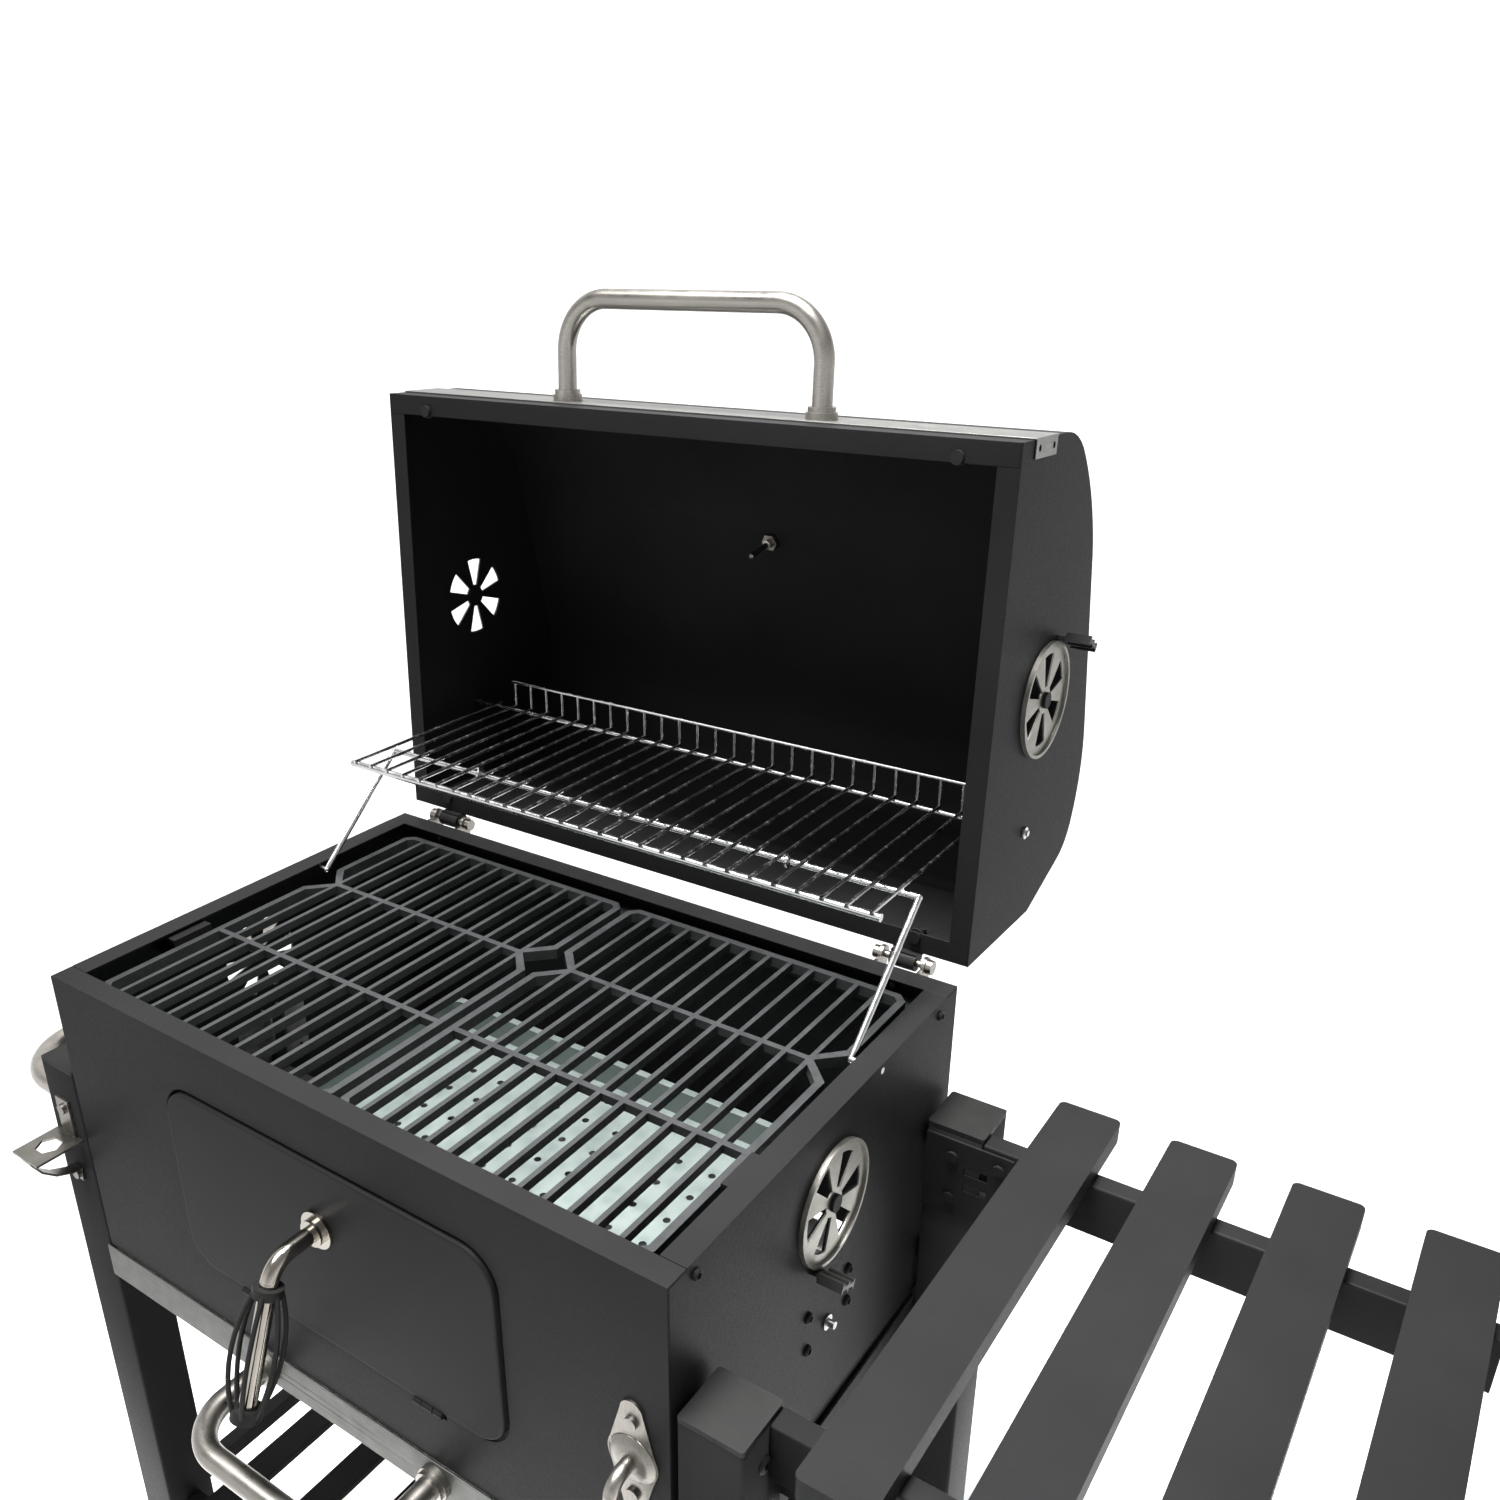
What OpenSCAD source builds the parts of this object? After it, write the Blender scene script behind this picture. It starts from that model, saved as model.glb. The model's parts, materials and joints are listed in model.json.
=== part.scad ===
// Charcoal grill trolley with a barrel lid, a side table, an ash drawer and a cranked coal pan.
// Millimetres, +Z up, front towards -Y, side table towards +X.
// Local frame of the modules: X from the middle of the firebox, Y from its front face, Z from its top.

/* [Firebox] */
// Width of the firebox
fire_w = 600; // [560:5:640]
// Depth of the firebox, front to rear
fire_d = 388; // [370:1:400]
// Height of the firebox walls
fire_h = 272; // [262:1:290]
// Height of the firebox top above the floor
top_height = 850; // [800:5:900]
// Thickness of the body sheet steel
sheet = 1.5; // [1.2:0.1:2]
// Width of the folded flange round the top of the firebox and round the lid's rim
flange = 19; // [17:0.5:21]

/* [Lid] */
// How far the open lid has turned back from closed, in degrees
lid_open = 92.1; // [70:0.1:100]
// Depth of the lid's rim, front to rear
lid_d = 396; // [392:1:400]
// Height of the lid's straight front wall
lid_front_h = 85; // [75:1:95]
// Length of the lid's straight sloping top
lid_slope_len = 150; // [140:1:156]
// Height of the lid's straight rear wall
lid_rear_h = 124; // [110:1:130]
// Gap between the closed lid's rim and the firebox top
lid_gap = 3; // [2.5:0.1:4]

/* [Legs and shelf] */
// Side of the square leg tube
leg = 46; // [40:1:50]
// Wall thickness of the leg tube
leg_wall = 1.5; // [1:0.1:2]
// Gap between a leg and the firebox
leg_gap = 4; // [3:0.5:6]
// Drop from the firebox top to the leg tube's end
leg_drop = 99; // [90:1:110]
// Drop from the firebox top to the lower shelf
shelf_drop = 600; // [560:5:620]
// Number of lower shelf slats
shelf_slats_n = 8; // [6:1:10]
// Width of a lower shelf slat
shelf_slat_w = 30; // [25:1:36]

/* [Side table] */
// Pitch of the side table slats
slat_pitch = 84; // [80:1:90]
// Width of a side table slat
slat_w = 47; // [40:1:50]
// Thickness of a side table slat
slat_t = 17; // [12:1:18]
// Length of a side table slat
slat_len = 410; // [380:1:430]
// Gap between the leg and the first slat
slat_first = 35; // [30:1:45]
// Width of a side table rail
rail_w = 17; // [14:1:20]
// Height of a side table rail
rail_h = 44; // [36:1:48]

/* [Wheels] */
// Radius of a wheel
wheel_r = 90; // [80:1:100]
// Width of a wheel
wheel_w = 32; // [26:1:40]

/* [Cooking grates] */
// Bar pitches across one grate panel
grate_pitches = 13; // [11:1:15]
// Width of a cast bar
bar_w = 4; // [3:0.5:6]
// Height of a cast bar
bar_h = 7; // [5:0.5:8]
// Width of the cast frame round a panel
rim_w = 6; // [5:0.5:7]
// Height of the cast frame round a panel
rim_h = 9; // [8:0.5:12]
// Drop from the firebox top to the top of the grates
grate_drop = 9; // [7:1:12]

/* [Coal pan and crank] */
// Width of the coal pan's rim
pan_w = 430; // [400:5:436]
// Depth of the coal pan's rim, front to rear
pan_d = 320; // [280:5:330]
// Height of the coal pan's wall
pan_h = 27; // [20:1:30]
// Drop from the firebox top to the lowered pan's rim
pan_drop = 168; // [165:1:175]
// Height that the crank lifts the coal pan
pan_lift = 88; // [60:1:88]
// Pitch radius of the lifting pinion
pinion_r = 15; // [15:1:15]

/* [Door] */
// Width of the door
door_w = 336; // [300:2:340]
// Height of the door
door_h = 169; // [150:1:172]
// Corner radius of the door
door_r = 30; // [20:1:36]
// Drop from the firebox top to the top of the door
door_drop = 47; // [45:1:52]

/* [Vents and tubes] */
// Outer radius of an air vent disc
vent_r = 46.5; // [44:0.5:48]
// Diameter of the grab handles' stainless tube
tube_d = 19; // [16:1:20]
// Diameter of the lid handle's tube
lid_tube_d = 16; // [14:1:18]

/* [Hidden] */
$fn = 48;

half_w = fire_w / 2;
leg_x = half_w + leg_gap + leg / 2;
leg_front_y = 1 + leg / 2;
leg_rear_y = fire_d - 1 - leg / 2;
cap_t = 4;
clear = 0.3;
running = 0.05;

// Whole object: the origin is on the floor under the middle of its box with the lid open
handle_reach = 94;
table_end = leg_x + leg / 2 + slat_first + 3 * slat_pitch + slat_w + 8;
side_end = leg_x + leg / 2 + handle_reach + tube_d / 2;
grip_front = 98;
lid_rear_y = 630;
origin_x = (table_end - side_end) / 2;
origin_y = (lid_rear_y - grip_front) / 2;

// Lid hinge and the lid's place when closed
hinge_y = fire_d + 14;
lid_y = fire_d + 6 - lid_d;
hinge_x = 248;
hinge_screws = [-14, -40];
lid_grip_x = 124;
lid_grip_h = 40;
lid_vent_s = 203;
lid_vent_h = 100;

// Warming rack: pivots in the lid and a bail on the firebox that holds it level
rack_s = 313;
rack_h = 92;
bail_y = 262;
bail_drop = 6;
rack_wires = 27;
rack_pitch = 20.4;
rack_wire_d = 3.2;
rack_rod_d = 5;
rack_depth = 195;
fence_h = 25;

// Firebox vent
vent_y = 194;
vent_drop = 74;
vent_slot_r = 37;
vent_hub_r = 11;

// Crank and lift
crank_x = 273;
crank_drop = 147;
rod_r = 5;
teeth = 10;
tooth_pitch = 2 * PI * pinion_r / teeth;
lift_y = 194;
lift_w = 14;

// Door and its latch
latch_drop = 104;
door_hinge_drop = door_drop + door_h;
lever_r = 6.5;
lever_lean = 21;
lever_bend_r = 22;
lever_len = 100;

// Ash drawer
drawer_h = 32;
drawer_handle_x = 93;

module place() translate([-origin_x, -origin_y, top_height]) children();

module on_lid() {
    translate([0, hinge_y, 0]) rotate([-lid_open, 0, 0])
        translate([0, lid_y - hinge_y, lid_gap]) children();
}

// ---- shared shapes ----

module block(x0, x1, y0, y1, z0, z1) translate([x0, y0, z0]) cube([x1 - x0, y1 - y0, z1 - z0]);

module rod_x(x0, x1, r) translate([x0, 0, 0]) rotate([0, 90, 0]) cylinder(h = x1 - x0, r = r);

module rod_y(y0, y1, r) translate([0, y0, 0]) rotate([-90, 0, 0]) cylinder(h = y1 - y0, r = r);

module rounded(w, h, r) {
    square([w - 2 * r, h], center = true);
    square([w, h - 2 * r], center = true);
    for (x = [-1, 1], y = [-1, 1]) translate([x * (w / 2 - r), y * (h / 2 - r)]) circle(r);
}

// Flat outline in X and Z, thickened from y0 to y1
module upright(y0, y1) translate([0, y1, 0]) rotate([90, 0, 0]) linear_extrude(y1 - y0) children();

// Flat outline in Y and Z, thickened from x0 to x1
module sideways(x0, x1) translate([x0, 0, 0]) rotate([90, 0, 90]) linear_extrude(x1 - x0) children();

// Bent strip of one thickness along a list of points in a plane
function side_of(p, i, w) = let (a = p[max(i - 1, 0)], b = p[min(i + 1, len(p) - 1)], d = (b - a) / norm(b - a))
    p[i] + w * [-d[1], d[0]];

module ribbon(p, w) polygon(concat([for (i = [0 : len(p) - 1]) side_of(p, i, w / 2)],
    [for (i = [len(p) - 1 : -1 : 0]) side_of(p, i, -w / 2)]));

function arc(c, r, a0, a1, n) = [for (i = [0 : n]) let (a = a0 + (a1 - a0) * i / n) c + r * [cos(a), sin(a)]];

// Bent rod in the Y and Z plane: centre, bend radius, angles from +Y towards +Z, rod radius
module elbow(c, bend, a0, a1, r) translate([0, c[0], c[1]]) rotate([90, 0, 90]) rotate([0, 0, a0])
    rotate_extrude(angle = a1 - a0) translate([bend, 0]) circle(r);

// Six wedge openings of an air vent
module wedges(grow) {
    for (a = [0 : 60 : 300]) rotate(a) intersection() {
        difference() {
            circle(vent_slot_r + grow);
            circle(vent_hub_r - grow);
        }
        polygon([[0, 0], [60 * cos(15), 60 * sin(15)], [60 * cos(15), -60 * sin(15)]]);
    }
}

// U-shaped tube in X and Y: legs from y = 0 to y = -reach, legs span apart
module tube_u(span, reach, bend, d) {
    for (s = [-1, 1]) {
        translate([s * span / 2, 0, 0]) difference() {
            rod_y(bend - reach, 0, d / 2);
            rod_y(bend - reach - 1, 1, d / 2 - 1.2);
        }
        translate([s * (span / 2 - bend), bend - reach, 0]) rotate([0, 0, s > 0 ? -90 : 180])
            rotate_extrude(angle = 90) translate([bend, 0]) difference() {
                circle(d / 2);
                circle(d / 2 - 1.2);
            }
    }
    translate([0, -reach, 0]) difference() {
        rod_x(bend - span / 2, span / 2 - bend, d / 2);
        rod_x(bend - span / 2 - 1, span / 2 - bend + 1, d / 2 - 1.2);
    }
}

// Stepped collar round a tube, standing on y = 0 and pointing to -Y
module collar(d) difference() {
    union() {
        rod_y(-5, 0, d / 2 + 4.5);
        rod_y(-9, -5, d / 2 + 3);
    }
    rod_y(-10, 1, d / 2 + running);
}

// Button-head screw along -Y with its shank in +Y
module screw_y(r, shank) {
    rod_y(-2.6, 0, r * 1.9);
    rod_y(0, shank, r);
}

// ---- firebox ----

leg_bolt_drops = [125, 240];
corner_screws = [28, fire_d - 27];
guide_screws = [[lift_y - 29, -155], [lift_y + 29, -155], [lift_y - 29, -185], [lift_y + 29, -185]];
door_hinges = [-93, 93];
knuckle_w = 30;

module front_panel() place() color("#3b3b3b") difference() {
    union() {
        block(-half_w, half_w, 0, sheet, -fire_h, 0);
        block(-half_w, half_w, 0, flange, -sheet, 0);
    }
    upright(-1, sheet + 1) translate([0, -door_drop - door_h / 2]) rounded(door_w + 2, door_h + 2, door_r + 1);
    for (x = door_hinges) block(x - knuckle_w / 2 - 0.5, x + knuckle_w / 2 + 0.5, -1, sheet + 1,
        -door_hinge_drop - 6, -door_hinge_drop + 2);
    translate([crank_x, 0, -crank_drop]) rod_y(-1, sheet + 1, rod_r + 1);
    for (z = [-30, 30]) translate([crank_x, 0, z - crank_drop]) rod_y(-1, sheet + 1, 2.6);
}

module rear_panel() place() color("#3b3b3b") difference() {
    union() {
        block(-half_w, half_w, fire_d - sheet, fire_d, -fire_h, 0);
        block(-half_w, half_w, fire_d - flange, fire_d, -sheet, 0);
    }
    for (x = [-1, 1], z = hinge_screws) translate([x * hinge_x, fire_d, z]) rod_y(-sheet - 1, 1, 2.6);
}

// Rivet that a vent disc turns on
module vent_rivet() {
    rod_x(-1, 3.2, 3);
    rod_x(1.8, 4.4, 6.5);
}

module side_panel() difference() {
    union() {
        translate([half_w, vent_y, -vent_drop]) vent_rivet();
        block(half_w - sheet, half_w, sheet + 0.2, fire_d - sheet - 0.2, -fire_h, -sheet - 0.2);
        block(half_w - sheet, half_w, flange + 0.2, fire_d - flange - 0.2, -sheet - 0.3, 0);
        block(half_w - flange, half_w, flange + 0.2, fire_d - flange - 0.2, -sheet, 0);
        block(half_w - flange - 8, half_w - sheet, 95, 132, -7, -4);
        block(half_w - flange - 8, half_w - flange - 6.5, 95, 132, -22, -4);
        block(half_w - sheet - 12, half_w - sheet, 95, 132, -22, -20);
        block(half_w - flange - 8, half_w - sheet - 11, 95, 132, -22, -20);
    }
    sideways(half_w - sheet - 1, half_w + 1) translate([vent_y, -vent_drop]) wedges(1);
    for (y = corner_screws) translate([half_w, y, -11]) rod_x(-sheet - 1, 1, 2.1);
    for (p = guide_screws) translate([half_w, p[0], p[1]]) rod_x(-sheet - 1, 1, 2.1);
    for (y = [leg_front_y, leg_rear_y], d = leg_bolt_drops)
        translate([half_w, y, -d]) rod_x(-sheet - 1, 1, 3.1);
    translate([half_w, bail_y, -bail_drop]) rod_x(-sheet - 1, 1, rack_rod_d / 2 + running);
}

module right_panel() place() color("#3b3b3b") side_panel();

module left_panel() place() color("#3b3b3b") mirror([1, 0, 0]) side_panel();

module panel_screws() place() color("#1c1c1c") for (m = [0, 1]) mirror([m, 0, 0]) {
    for (y = corner_screws) translate([half_w, y, -11]) {
        rod_x(0, 2.6, 4);
        rod_x(-4, 0, 2);
    }
    for (p = guide_screws) translate([half_w, p[0], p[1]]) {
        rod_x(0, 3, 4.4);
        rod_x(-sheet - 1.6, 0, 2);
    }
}

module grate_ledges() place() color("#2e2e2e") for (y = [sheet + 0.1, fire_d - sheet - 26.1]) {
    block(6 - half_w, half_w - 6, y, y + 26, -grate_drop - rim_h - 2.3, -grate_drop - rim_h - clear);
    block(6 - half_w, half_w - 6, y < 100 ? y : y + 24, y < 100 ? y + 2 : y + 26, -grate_drop - rim_h - 14,
        -grate_drop - rim_h - 2.3);
}

// ---- legs, shelf and running gear ----

module leg_tube(side, y, foot) difference() {
    block(side * leg_x - leg / 2, side * leg_x + leg / 2, y - leg / 2, y + leg / 2,
        foot - top_height, -leg_drop);
    block(side * leg_x - leg / 2 + leg_wall, side * leg_x + leg / 2 - leg_wall, y - leg / 2 + leg_wall,
        y + leg / 2 - leg_wall, -top_height + foot - 1, -leg_drop + 1);
    for (d = leg_bolt_drops) translate([side * leg_x, y, -d]) rod_x(-leg, leg, 3.1);
    if (side > 0) {
        inner = y < fire_d / 2 ? leg / 2 : -leg / 2;
        translate([leg_x, y, wheel_r - top_height]) rod_y(-leg, leg, axle_r + running);
        for (z = bracket_screws) translate([leg_x, y + inner, z]) rod_y(-3, 3, 2.6);
    } else translate([-leg_x, y, -side_handle_drop]) rod_x(-leg, 0, tube_d / 2 + running);
}

axle_r = 6;
bracket_screws = [-118, -157];
opener_screws = [-138, -205];
foot_left = 12;
foot_right = wheel_r - 30;

module leg_front_left() place() color("#3b3b3b") difference() {
    leg_tube(-1, leg_front_y, foot_left);
    for (z = opener_screws) translate([-leg_x, 0, z]) rod_y(-1, 4, 2.6);
}

module leg_front_right() place() color("#3b3b3b") leg_tube(1, leg_front_y, foot_right);

module leg_rear_left() place() color("#3b3b3b") leg_tube(-1, leg_rear_y, foot_left);

module leg_rear_right() place() color("#3b3b3b") leg_tube(1, leg_rear_y, foot_right);

module leg_caps() place() color("#4a4a46") for (x = [-leg_x, leg_x], y = [leg_front_y, leg_rear_y])
    translate([x, y, -leg_drop]) {
    linear_extrude(cap_t) rounded(leg, leg, 2);
    translate([0, 0, -12]) linear_extrude(12) rounded(leg - 2 * leg_wall - 0.4, leg - 2 * leg_wall - 0.4, 1);
}

module leg_feet() place() color("#242424") for (s = [-1, 1], y = [leg_front_y, leg_rear_y])
    translate([s * leg_x, y, (s < 0 ? foot_left : foot_right) - top_height]) {
        translate([0, 0, s < 0 ? -foot_left : -4]) linear_extrude(s < 0 ? foot_left : 4) rounded(leg, leg, 3);
        linear_extrude(14) rounded(leg - 2 * leg_wall - 0.4, leg - 2 * leg_wall - 0.4, 1);
    }

module leg_bolts() place() color("#1c1c1c")
    for (s = [0, 1], y = [leg_front_y, leg_rear_y], d = leg_bolt_drops) mirror([s, 0, 0]) translate([half_w, y, -d]) {
        rod_x(-sheet - 7, leg_gap + leg, 3);
        rod_x(-sheet - 6, -sheet, 5.4);
        rod_x(0, leg_gap, 8);
        rod_x(leg_gap + leg, leg_gap + leg + 2.6, 6);
    }

shelf_h = 25;
shelf_y0 = leg_front_y;
shelf_y1 = leg_rear_y;

module shelf_frame() place() color("#3b3b3b") {
    for (y = [shelf_y0, shelf_y1]) block(-leg_x + leg / 2 + 0.1, leg_x - leg / 2 - 0.1, y - 8, y + 8,
        -shelf_drop - shelf_h, -shelf_drop - 8);
    for (x = [-leg_x, leg_x]) block(x - 8, x + 8, shelf_y0 + leg / 2 + 0.1, shelf_y1 - leg / 2 - 0.1,
        -shelf_drop - shelf_h, -shelf_drop - 8);
}

module shelf_slats() place() color("#3b3b3b") for (i = [0 : shelf_slats_n - 1])
    translate([(i - (shelf_slats_n - 1) / 2) * 534 / (shelf_slats_n - 1), 0, 0])
        block(-shelf_slat_w / 2, shelf_slat_w / 2, shelf_y0 - 12, shelf_y1 + 12, -shelf_drop - 8, -shelf_drop);

module axle() place() color("#8c8c8a") translate([leg_x, 0, wheel_r - top_height]) {
    rod_y(-46, fire_d + 46, axle_r);
    for (y = [-46, fire_d + 42]) rod_y(y, y + 4, 9);
}

// Wheel turning on Y: rounded tread, thin web and a hub
module wheel() rotate([90, 0, 0]) rotate_extrude($fn = 96) {
    translate([wheel_r - 12, 0]) rounded(24, wheel_w, 9);
    translate([14, -3]) square([wheel_r - 34, 6]);
    translate([axle_r + running, -wheel_w / 2]) square([16 - axle_r, wheel_w]);
}

module wheel_front() place() color("#222222") translate([leg_x, -22, wheel_r - top_height]) wheel();

module wheel_rear() place() color("#222222") translate([leg_x, fire_d + 22, wheel_r - top_height])
    mirror([0, 1, 0]) wheel();

// ---- side table ----

rail_x0 = leg_x + leg / 2 + 0.2;
rail_front_y = leg_front_y + leg / 2 - rail_w;
rail_rear_y = leg_rear_y - leg / 2;

module table_rail(y) difference() {
    block(rail_x0, table_end, y, y + rail_w, -leg_drop - rail_h, -leg_drop);
    block(rail_x0 - 1, table_end - 1.5, y + 1.5, y + rail_w - 1.5, -leg_drop - rail_h + 1.5, -leg_drop - 1.5);
    for (z = bracket_screws)
        translate([rail_x0 + 14, y < fire_d / 2 ? y + rail_w : y, z + 3]) rod_y(-3, 3, 2.6);
}

module table_rails() place() color("#3b3b3b") for (y = [rail_front_y, rail_rear_y]) table_rail(y);

// Plates that tie the rails to the inner faces of the right legs, with their screws
module table_brackets() place() color("#202020") for (rear = [0, 1]) {
    y = rear ? leg_rear_y - leg / 2 - 2.2 : leg_front_y + leg / 2 + 0.2;
    difference() {
        block(leg_x - leg / 2 + 1, rail_x0 + 25, y, y + 2, -leg_drop - 74, -leg_drop - 4);
        for (z = [-131, -146]) block(leg_x + 10, rail_x0 + 6, y - 1, y + 3, z, z + 7);
    }
    for (x = [leg_x, rail_x0 + 14], z = bracket_screws) translate([x, rear ? y : y + 2, x < rail_x0 ? z : z + 3]) {
        rod_y(rear ? -2.4 : 0, rear ? 0 : 2.4, 4.6);
        rod_y(rear ? 0 : -7, rear ? 7 : 0, 2.5);
    }
}

module table_slat(i) {
    x = leg_x + leg / 2 + slat_first + (i - 1) * slat_pitch;
    mid = (rail_front_y + rail_rear_y + rail_w) / 2 + 6;
    difference() {
        translate([x + slat_w / 2, mid, -leg_drop + 0.1]) linear_extrude(slat_t) rounded(slat_w, slat_len, 5);
        translate([x + slat_w / 2, mid, -leg_drop - 1]) linear_extrude(slat_t - 0.5)
            rounded(slat_w - 3, slat_len - 3, 3.5);
    }
}

module table_slat_1() place() color("#454545") table_slat(1);

module table_slat_2() place() color("#454545") table_slat(2);

module table_slat_3() place() color("#454545") table_slat(3);

module table_slat_4() place() color("#454545") table_slat(4);

// ---- handles and fittings on the trolley ----

side_handle_drop = 150;

module side_handle() place() color("#b9b5ac")
    translate([-leg_x - leg / 2, (leg_front_y + leg_rear_y) / 2, -side_handle_drop])
    rotate([0, 0, -90]) union() {
        tube_u(leg_rear_y - leg_front_y, handle_reach, 54, tube_d);
        for (s = [-1, 1]) translate([s * (leg_rear_y - leg_front_y) / 2, 0, 0]) {
            rod_y(0, 12, tube_d / 2);
            difference() {
                union() {
                    rod_y(-5, -0.1, tube_d / 2 + 4.5);
                    rod_y(-9, -5, tube_d / 2 + 3);
                }
                rod_y(-10, 1, tube_d / 2 - 0.6);
            }
        }
    }

module drawer_runners() place() color("#2e2e2e") for (m = [0, 1]) mirror([m, 0, 0]) {
    block(half_w - 16, half_w + leg_gap - 0.1, sheet + 4, fire_d - 2, -fire_h - drawer_h,
        -fire_h - drawer_h + sheet);
    block(half_w + leg_gap - 0.1 - sheet, half_w + leg_gap - 0.1, sheet + 4, fire_d - 2, -fire_h - drawer_h,
        -fire_h - 2);
}

// Bent plate with a six-sided opening and a strut back to the leg
module bottle_opener() place() color("#b9b5ac") translate([-leg_x, 0, 0]) {
    difference() {
        union() {
            block(-9, 9, -1.5, 0.7, -164, -128);
            block(-18, 18, -42, 0.7, -166.2, -164);
            sideways(-6, 6) ribbon([[-41.4, -164.4], [-40, -170], [-33, -182], [-22, -192], [-8, -198], [-0.4, -198.5],
                [-0.4, -211]], 1.8);
        }
        for (z = opener_screws) translate([0, 0, z]) rod_y(-3, 3, 2.6);
        translate([0, -20, -170]) cylinder(h = 10, r = 11, $fn = 6);
    }
    for (z = opener_screws) translate([0, -1.5, z]) screw_y(2.5, 5);
}

module crank_plate() place() color("#b9b5ac") translate([crank_x, 0, -crank_drop]) difference() {
    union() {
        upright(-1.6, 0) union() {
            circle(19);
            polygon([[-16.8, 9], [-8, 40], [8, 40], [16.8, 9], [16.8, -9], [8, -40], [-8, -40], [-16.8, -9]]);
            for (z = [-38, 38]) translate([0, z]) circle(8.5);
        }
        rotate([90, 0, 0]) rotate_extrude()
            polygon([[0, 0], [18.4, 0], [17.8, 2.2], [14, 4.8], [8, 6.2], [0, 6.6]]);
        for (z = [-30, 30]) translate([0, -1.6, z]) screw_y(2.5, 5);
    }
    rod_y(-20, 4, rod_r + running);
}

// Wall guides of the pan lift: two cheeks on each wall, the right pair carries the crank rod
module lift_guides() place() color("#55554f") for (m = [0, 1]) mirror([m, 0, 0]) {
    difference() {
        union() {
            block(half_w - sheet - 1.7, half_w - sheet, lift_y - 38, lift_y + 38, -196, -132);
            for (y = [lift_y - lift_w / 2 - 2.4, lift_y + lift_w / 2 + 0.4])
                block(m == 0 ? 241 : half_w - 14, half_w - sheet, y, y + 2, -166, -128);
        }
        for (p = guide_screws) translate([half_w, p[0], p[1]]) rod_x(-8, 1, 2.1);
        if (m == 0) translate([crank_x, 0, -crank_drop]) rod_y(lift_y - 20, lift_y + 20, rod_r + running);
    }
    translate([half_w, lift_y, -182]) {
        rod_x(0.2, 7, 3);
        rod_x(0.1, 1.5, 6);
    }
}

// ---- lid ----

function lid_profile(t) = let (
    c1 = [60, lid_front_h],
    c2 = c1 + (60 - 200) * [cos(135), sin(135)],
    c3 = c2 + (200 - 150) * [cos(104), sin(104)] + lid_slope_len * [sin(104), -cos(104)],
    c4 = c3 + (150 - 45) * [cos(70), sin(70)])
    concat([[t, 0]], arc(c1, 60 - t, 180, 137, 10), arc(c2, 200 - t, 135, 107, 10), arc(c3, 150 - t, 104, 72, 10),
        arc(c4, 45 - t, 70, 23, 10), [[lid_d - t, lid_rear_h], [lid_d - t, 0]]);

lid_wall = 1.2;

module lid_skin() place() on_lid() color("#3b3b3b") {
    difference() {
        sideways(-half_w + lid_wall + 0.1, half_w - lid_wall - 0.1) difference() {
            polygon(lid_profile(0));
            polygon(concat([[lid_wall, -1]], lid_profile(lid_wall), [[lid_d - lid_wall, -1]]));
        }
        for (x = [-lid_grip_x, lid_grip_x]) translate([x, 0, lid_grip_h]) rod_y(-1, 3, 3.1);
        translate([0, 125, 184.2]) rotate([14, 0, 0]) translate([0, 0, -20]) cylinder(h = 40, r = 5);
        for (x = [-1, 1], z = [12, 30]) translate([x * hinge_x, lid_d, z]) rod_y(-3, 1, 2.6);
    }
    block(-half_w + lid_wall + 0.1, half_w - lid_wall - 0.1, 0, flange - 2, 0, lid_wall);
    block(-half_w + lid_wall + 0.1, half_w - lid_wall - 0.1, lid_d - flange + 2, lid_d, 0, lid_wall);
}

module lid_end() {
    difference() {
        sideways(half_w - lid_wall, half_w) polygon(lid_profile(0));
        sideways(half_w - 3, half_w + 1) translate([lid_vent_s, lid_vent_h]) wedges(1);
        translate([half_w, rack_s, rack_h]) rod_x(-3, 1, rack_rod_d / 2 + running);
    }
    block(half_w - flange + 2, half_w - lid_wall, flange - 1.8, lid_d - flange + 1.8, 0, lid_wall);
    translate([half_w, lid_vent_s, lid_vent_h]) vent_rivet();
}

module lid_end_right() place() on_lid() color("#3b3b3b") lid_end();

module lid_end_left() place() on_lid() color("#3b3b3b") mirror([1, 0, 0]) lid_end();

// Stainless strip across the lid's front wall with tabs folded over both ends
module lid_trim() place() on_lid() color("#b9b5ac") difference() {
    union() {
        block(-half_w - 1.2, half_w + 1.2, -1.2, -0.1, 20, 64);
        for (s = [-1, 1]) translate([s * (half_w + 0.65), 0, 0]) block(-0.55, 0.55, -1.2, 13, 22, 62);
    }
    for (x = [-lid_grip_x, lid_grip_x]) translate([x, 0, lid_grip_h]) rod_y(-3, 3, lid_tube_d / 2 + 0.1);
    for (z = [29, 56]) translate([0, 6, z]) rod_x(-half_w - 3, half_w + 3, 2.4);
}

module lid_handle() place() on_lid() color("#b9b5ac") translate([0, -0.1, lid_grip_h]) {
    tube_u(2 * lid_grip_x, 83, 42, lid_tube_d);
    for (x = [-lid_grip_x, lid_grip_x]) translate([x, 0, 0]) {
        rod_y(-14, 0, lid_tube_d / 2 - 0.6);
        rod_y(-1, 2, 3);
        rod_y(1.5, 4, 6);
    }
}

module lid_collars() place() on_lid() color("#b9b5ac") for (x = [-lid_grip_x, lid_grip_x])
    translate([x, -1.3, lid_grip_h]) collar(lid_tube_d);

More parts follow.
